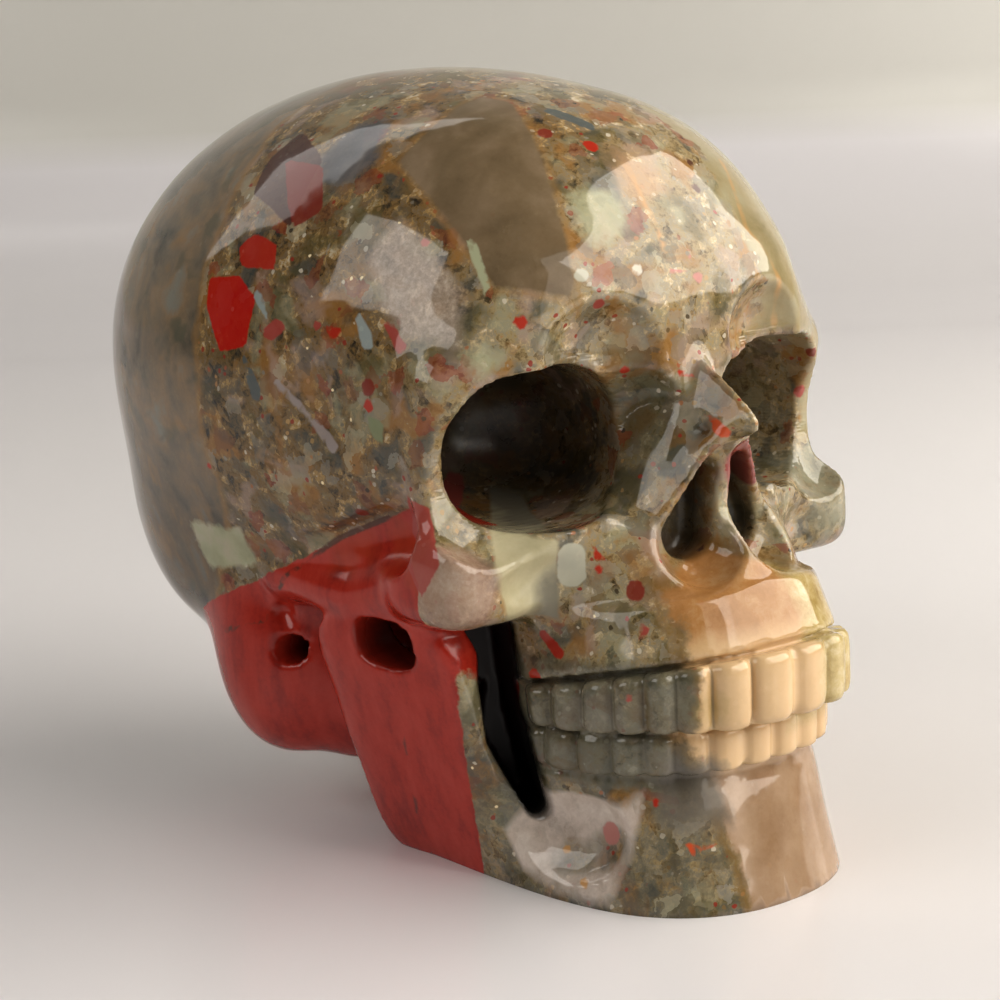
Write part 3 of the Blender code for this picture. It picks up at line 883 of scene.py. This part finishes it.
    # Yellow-green chalcedony on the far side of the forehead
    green = ramp(veil, (0.26, 0.21, 0.10), (0.36, 0.30, 0.17), (0.40, 0.37, 0.25))
    far = most(5.4 + magnitude(zz - 39) * 0.12 - zx + (ochre - 0.5) * 9, 24.5 - zz, zy - 3,
               rag * 4 - stored("socket"))
    colour = blend(colour, green, edge(far, 0.6) * 0.94)
    grey = ramp(veil, (0.22, 0.22, 0.16), (0.33, 0.33, 0.25))
    colour = blend(colour, grey, edge(ball(zone, (14.5, -14.5, 20.5), 3.6), 1.0) * 0.6)

    # Orange and peach stone at the front teeth and the chin
    side = x + 5.9 + split(drift)[1] * 4 + split(wobble)[2] * 1.5 - rise(z, 11.0, 2.0) * 3.0
    front = most(-side, z - 20.5 + magnitude(x + 1) * 0.35, zy + 15.0)
    chin = ramp(veil, (0.30, 0.19, 0.11), (0.39, 0.27, 0.175), (0.48, 0.35, 0.25))
    honey = ramp(veil * 0.7 + crumbs * 0.3, (0.30, 0.14, 0.04), (0.43, 0.22, 0.08),
                 (0.56, 0.38, 0.20))
    peach = blend(honey, (0.76, 0.56, 0.33), rise(z, 17.0, 15.5) * 0.8)
    peach = blend(peach, chin, rise(z, 8.4, 7.6))
    yellow = ramp(crumbs, (0.28, 0.21, 0.05), (0.48, 0.40, 0.17), (0.64, 0.58, 0.38))
    peach = blend(peach, yellow, least(rise(zx, 0.8, 2.6), rise(z, 9.5, 11.0)) * 0.75)
    colour = blend(colour, peach, edge(front, 0.4) * 0.93)
    colour = blend(colour, (0.24, 0.14, 0.045), edge(magnitude(front - 0.35) - 0.35, 0.7) * 0.7)
    stain = edge(ball(zone, (-5.4, -24.5, 14.0), 1.6), 1.4)
    colour = blend(colour, (0.36, 0.27, 0.08), stain * 0.6)

    # Grey teeth at the side, and grey and lavender quartz along the jaw
    olive = ramp(crumbs * 0.7 + veil * 0.3, (0.07, 0.07, 0.045), (0.15, 0.145, 0.105),
                 (0.27, 0.26, 0.20))
    band = most(magnitude(z - 11.0) - 3.9, side + 0.3, y + 14.0)
    colour = blend(colour, olive, edge(band, 0.6) * 0.72)
    veiled = ramp(veil, (0.11, 0.095, 0.075), (0.17, 0.15, 0.125), (0.24, 0.21, 0.17))
    grey = stored("grey quartz") + rag * 2.5
    colour = blend(colour, veiled, edge(grey, 0.9) * 0.85)
    lilac = ramp(crumbs * 0.5 + veil * 0.5, (0.36, 0.30, 0.25), (0.62, 0.53, 0.46),
                 (0.80, 0.72, 0.64))
    jaw = stored("lilac quartz") + rag
    colour = blend(colour, lilac, edge(jaw, 0.35) * 0.92)

    # Cream stone under the eye, and rosy stone at the cheek
    cream = ramp(veil, (0.41, 0.37, 0.23), (0.60, 0.55, 0.37))
    # Greyer towards the nose and lower down
    cream = blend(cream, (0.22, 0.205, 0.16), rise(zx - z * 0.35, -17.2, -15.9) * 0.85)
    patch = stored("cream stone") + rag
    colour = blend(colour, cream, edge(patch, 0.25) * 0.95)
    cheek = ramp(veil * 0.8 + grit * 0.2, (0.24, 0.15, 0.11), (0.40, 0.27, 0.20),
                 (0.52, 0.42, 0.34))
    colour = blend(colour, cheek, edge(ball(crisp, (-16.2, -17.0, 19.6), 2.9), 0.8) * 0.8)

    # Red jasper over the jaw branch, the arch and the mastoid
    streaks = noise(here * (1, 1, 0.25), 1.3, 2.0, 0.6) * 0.75 + grit * 0.25
    jasper = ramp(streaks, (0.26, 0.014, 0.007), (0.42, 0.030, 0.014), (0.48, 0.045, 0.024))
    jasper = blend(jasper, (0.42, 0.05, 0.015), rise(z, 17.0, 20.0) * rise(ochre, 0.45, 0.6) * 0.6)
    cx, cy, cz = split(crisp)
    red = most(cz - 18.8 + cy * 0.42, -11.3 - cz * 0.17 - cy, -12.3 - (24.4 - cz) * 0.54 - cy,
               cy - 11.0, cx + 10.0 - rise(cz, 20.0, 17.0) * 6.0)
    colour = blend(colour, jasper, edge(red, 0.14))
    for name, shade, softness, strength in (("jasper vein", "dark crystal", 0.12, 0.9),
                                            ("branch vein", "maroon", 0.16, 0.7)):
        cracks = stored(name) + rag * 0.5 - CRACK_ALLOWANCE
        colour = blend(colour, SHADES[shade], edge(cracks, softness) * strength)

    # Patches of cream and green low at the side of the head
    low = stored("mint stone") + rag * 3.0
    colour = blend(colour, mint, edge(low, 0.4) * 0.9)
    colour = blend(colour, SHADES["emerald"], edge(ball(zone, (-17.5, 5.9, 20.7), 0.8), 1.0) * 0.8)

    # Marks
    for number, (shade, *_) in enumerate(MARKS):
        colour = blend(colour, SHADES[shade], edge(stored(f"mark {number}") + rag, 0.12) * 0.9)
    septum = edge(ball(crisp, (1.9, -22.2, 25.3), 2.1), 0.3)
    colour = blend(colour, SHADES["maroon red"], septum * 0.85)
    stain = edge(ball(zone, (4.4, -18.6, 32.8), 2.0), 1.8) * rise(crumbs, 0.4, 0.6)
    colour = blend(colour, SHADES["amber"], stain * 0.8)
    veins = least(stored("orange vein"), stored("brow vein")) + rag * 0.6
    colour = blend(colour, SHADES["orange"], edge(veins, 0.3) * 0.7)
    # Painted glints: bright specks of colour that stand in for crystals catching the light
    glints = least(*[distance(crisp, place) for place in SPARKLES]) - 0.11
    colour = blend(colour, SHADES["painted glint"], edge(glints, 0.04))

    # Painted shade in the gaps between the teeth and along the sawn lines
    lines = edge(stored("grime") - 0.06, 0.14) * rise(y, -14.0, -15.0)
    lines = lines * rise(stored("tooth row"), -1.6, -0.9)
    colour = blend(colour, (0.05, 0.04, 0.02), lines * (0.75 - edge(front, 0.4) * 0.5))

    # Hollows: painted shade, darker the deeper they go, and left rougher by the tools
    fold = merged(magnitude(x), y, z)
    sockets = edge(stored("socket"), 0.2)
    sockets = sockets * rise(beyond(fold, (8.9, -16.4, 27), (0.28, -0.96, 0)), -2.0, -9.0)
    inner = turned(fold - SLOT_MOUTH, "Z", SLOT_TURN)
    slot = edge(stored("slot"), 0.2) * rise(split(inner)[1], -1.5, 0.8)
    holes = edge(stored("drilled"), 0.3) * rise(magnitude(x), 15.6, 13.2)
    nostril = edge(stored("nostril"), 0.2) * rise(y, -22.2, -20.2)
    nostril = nostril * rise(y, -15.0, -17.0)
    inside = most(sockets, slot, holes, nostril)
    # Painted shade: the colour is darkened inside the sockets, the slot, the drilled holes and the
    # nostrils
    light = 1.0 - most(sockets * 0.72, slot * 0.97, holes * 0.75, nostril * 0.75)
    colour = scaled(colour, light)

    tree.links.new(colour.socket, shader.inputs["Base Color"])
    satin = edge(red, 0.14) * 0.12 + inside * 0.22 + finish.polish + (crumbs - 0.5) * 0.06
    tree.links.new(satin.socket, shader.inputs["Roughness"])
    tools = noise(here * (0.4, 1, 3), 0.5, 0.0) * rise(distance(fold, SOCKET[0]), 7.0, 6.0) * 0.05
    relief = noise(here, 2.4, 1.0) * 0.03 + tools
    normal = add_node("ShaderNodeBump", {}, {"Strength": 1.0, "Distance": MM, "Height": relief})
    tree.links.new(normal.socket, shader.inputs["Normal"])
    shader.inputs["IOR"].default_value = STONE_IOR
    material.diffuse_color = (0.30, 0.22, 0.16, 1.0)
    return material


def settle(thing):
    """Turns what a piece's modifiers make into a plain mesh, and removes them."""
    graph = bpy.context.evaluated_depsgraph_get()
    thing.data = bpy.data.meshes.new_from_object(thing.evaluated_get(graph))
    thing.modifiers.clear()


def make_skull(sizes, finish):
    """The carving as one closed mesh that stands for the CAD node."""
    material = bloodstone(finish)
    skull = bpy.data.objects.new("skull_stone", bpy.data.meshes.new("skull_stone"))
    bpy.context.scene.collection.objects.link(skull)
    carving = skull.modifiers.new("carving", "NODES")
    tree = carving_tree(material)
    carving.node_group = tree
    cell = sizes.cell
    values = {"Cell": cell, "Waviness": sizes.waviness, "Seed": sizes.seed}
    for item in tree.interface.items_tree:
        if item.in_out == "INPUT" and item.name in values:
            carving[item.identifier] = float(values[item.name])
    settle(skull)
    facets = sum(len(face.vertices) - 2 for face in skull.data.polygons)
    if facets > sizes.facets:
        thin = skull.modifiers.new("facets", "DECIMATE")
        thin.ratio = sizes.facets / facets
        settle(skull)
    stand_flat(skull.data)
    skull.modifiers.new("shapes", "NODES").node_group = shape_tree(material)
    settle(skull)
    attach(skull, "root")
    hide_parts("skull")


# The studio: the table's line from the front to the wall, as (along, up) in metres

TABLE_LINE = ((-0.7, 0.0), (0.27, 0.0), (0.31, 0.004), (0.34, 0.014), (0.357, 0.03), (0.36, 0.05),
              (0.36, 0.9))
TABLE_REACH = 1.2
WALL_START = (0.034, 0.042)
LIT_POINT = (0, 0, 0.022)
# Name, azimuth, elevation, distance, size, brightness and colour of each softbox
LAMPS = (
    ("window", 43, 30, 0.35, (0.47, 0.34), 4.3, (1.0, 0.95, 0.88)),
    ("window_side", 0, 30, 0.40, (0.16, 0.36), 1.5, (1.0, 0.97, 0.92)),
    ("far_window", -98, 33, 0.5, (0.34, 0.28), 2.9, (1.0, 0.97, 0.94)),
    ("ceiling", 158, 40, 0.62, (1.3, 0.4), 1.9, (1.0, 0.98, 0.95)),
)


def plain(name, colour, roughness):
    material = bpy.data.materials.new(name)
    material.use_nodes = True
    shader = material.node_tree.nodes["Principled BSDF"]
    shader.inputs["Base Color"].default_value = (*colour, 1.0)
    shader.inputs["Roughness"].default_value = roughness
    return material


def make_floor(studio):
    """A table top that turns up into a wall behind the carving."""
    points = []
    for across in (-TABLE_REACH, TABLE_REACH):
        points += [(across, along, up) for along, up in TABLE_LINE]
    count = len(TABLE_LINE)
    faces = [(n, n + count, n + count + 1, n + 1) for n in range(count - 1)]
    mesh = bpy.data.meshes.new("table_top")
    mesh.from_pydata(points, [], faces)
    mesh.transform(Matrix.Rotation(math.radians(CAMERA_AZIMUTH), 4, "Z"))
    mesh.shade_smooth()
    floor = bpy.data.objects.new("table_top", mesh)
    material = plain("white table", tuple(studio.floor), 0.25)
    Field.tree = material.node_tree
    height = split(add_node("ShaderNodeTexCoord", {}, (), 3))[2]
    colour = blend(tuple(studio.floor), tuple(studio.wall), rise(height, *WALL_START))
    Field.tree.links.new(colour.socket, Field.tree.nodes["Principled BSDF"].inputs["Base Color"])
    mesh.materials.append(material)
    bpy.context.scene.collection.objects.link(floor)


def direction(azimuth, elevation):
    a, e = math.radians(azimuth), math.radians(elevation)
    return Vector((math.sin(a) * math.cos(e), -math.cos(a) * math.cos(e), math.sin(e)))


def make_light(name, azimuth, elevation, distance, size, radiance, colour):
    """A softbox that faces the carving, with the given brightness of its face."""
    light = bpy.data.lights.new(name, "AREA")
    light.shape = "RECTANGLE"
    light.size, light.size_y = size
    light.energy = radiance * math.pi * size[0] * size[1]
    light.color = colour
    lamp = bpy.data.objects.new(name, light)
    out = direction(azimuth, elevation)
    lamp.location = Vector(LIT_POINT) + out * distance
    lamp.rotation_mode = "QUATERNION"
    lamp.rotation_quaternion = out.to_track_quat("Z", "Y")
    bpy.context.scene.collection.objects.link(lamp)


CAMERA_AZIMUTH = -38.38
CAMERA_ELEVATION = 10.87
CAMERA_DISTANCE = 139.96
CAMERA_AIM = (0.70, 20.44)
CAMERA_ROLL = -2.25
CAMERA_FOCUS = 2089.3
FRAME_SIDE = 1000
SENSOR = 36.0


def make_camera():
    lens = bpy.data.cameras.new("camera")
    lens.sensor_width = SENSOR
    lens.lens = CAMERA_FOCUS / FRAME_SIDE * SENSOR
    lens.clip_start = 0.005
    camera = bpy.data.objects.new("camera", lens)
    back = direction(CAMERA_AZIMUTH, CAMERA_ELEVATION)
    right = Vector((math.cos(math.radians(CAMERA_AZIMUTH)),
                    math.sin(math.radians(CAMERA_AZIMUTH)), 0))
    up = back.cross(right)
    roll = math.radians(CAMERA_ROLL)
    place = right * CAMERA_AIM[0] + Vector((0, 0, CAMERA_AIM[1])) + back * CAMERA_DISTANCE
    rolled = right * math.cos(roll) + up * math.sin(roll)
    upright = up * math.cos(roll) - right * math.sin(roll)
    turn = Matrix((rolled, upright, back)).transposed().to_4x4()
    camera.matrix_world = Matrix.Translation(place * MM) @ turn
    bpy.context.scene.collection.objects.link(camera)
    bpy.context.scene.camera = camera


def make_world(studio):
    world = bpy.data.worlds.new("room")
    world.use_nodes = True
    air = world.node_tree.nodes["Background"]
    air.inputs["Color"].default_value = (*studio.room, 1.0)
    air.inputs["Strength"].default_value = studio.room_light
    bpy.context.scene.world = world


class CarvingSizes(bpy.types.PropertyGroup):
    cell: bpy.props.FloatProperty(name="Cell", description="Fineness of the carving in millimetres",
                                  default=0.28, min=0.15, max=1.0)
    waviness: bpy.props.FloatProperty(name="Waviness", default=0.3, min=0.0, max=1.0,
                                      description="Unevenness from hand polishing, in millimetres")
    seed: bpy.props.FloatProperty(name="Seed", description="Picks another unevenness", default=3.0)
    facets: bpy.props.IntProperty(name="Triangles", description="Most triangles kept",
                                  default=186000, min=1000)


class StoneFinish(bpy.types.PropertyGroup):
    polish: bpy.props.FloatProperty(name="Polish", description="Roughness of the polished stone",
                                    default=0.06, min=0.0, max=1.0, subtype="FACTOR")


class StudioLook(bpy.types.PropertyGroup):
    floor: bpy.props.FloatVectorProperty(name="Table", description="Colour of the table top",
                                         default=(0.80, 0.785, 0.80), subtype="COLOR")
    wall: bpy.props.FloatVectorProperty(name="Wall", description="Colour of the wall",
                                        default=(0.66, 0.65, 0.61), subtype="COLOR")
    room: bpy.props.FloatVectorProperty(name="Room", description="Colour of the room's light",
                                        default=(1.0, 0.96, 0.88), subtype="COLOR")
    room_light: bpy.props.FloatProperty(name="Room light", description="Brightness of the room",
                                        default=0.08, min=0.0)
    contrast: bpy.props.FloatProperty(name="Contrast", description="Lower deepens the shadows",
                                      default=0.85, min=0.5, max=1.5)


class CARVING_OT_skull(bpy.types.Operator):
    """Carve the skull and give it its stone"""
    bl_idname = "carving.skull"
    bl_label = "Skull"

    def execute(self, context):
        make_skull(context.scene.carving_sizes, context.scene.carving_finish)
        return {"FINISHED"}


class CARVING_OT_studio(bpy.types.Operator):
    """Set the table, the lights and the camera"""
    bl_idname = "carving.studio"
    bl_label = "Studio"

    def execute(self, context):
        studio = context.scene.carving_studio
        make_camera()
        make_floor(studio)
        for lamp in LAMPS:
            make_light(*lamp)
        make_world(studio)
        context.scene.view_settings.view_transform = "Standard"
        context.scene.view_settings.gamma = studio.contrast
        return {"FINISHED"}


class CARVING_PT_panel(bpy.types.Panel):
    """Shows the settings of the carving, its stone and the studio, and the buttons that make them
    """
    bl_idname = "CARVING_PT_panel"
    bl_label = "Stone skull"
    bl_space_type = "VIEW_3D"
    bl_region_type = "UI"
    bl_category = "Carving"

    def draw(self, context):
        layout = self.layout
        for settings in GROUPS:
            group = getattr(context.scene, settings)
            for name in group.__annotations__:
                layout.prop(group, name)
        for operator in (CARVING_OT_skull, CARVING_OT_studio):
            layout.operator(operator.bl_idname)


GROUPS = {"carving_sizes": CarvingSizes, "carving_finish": StoneFinish,
          "carving_studio": StudioLook}
CLASSES = (*GROUPS.values(), CARVING_OT_skull, CARVING_OT_studio, CARVING_PT_panel)


def register():
    for part in CLASSES:
        bpy.utils.register_class(part)
    for name, group in GROUPS.items():
        setattr(bpy.types.Scene, name, bpy.props.PointerProperty(type=group))


def unregister():
    for name in GROUPS:
        delattr(bpy.types.Scene, name)
    for part in reversed(CLASSES):
        bpy.utils.unregister_class(part)


def main():
    register()
    bpy.ops.carving.studio()
    bpy.ops.carving.skull()


if __name__ == "__main__":
    main()
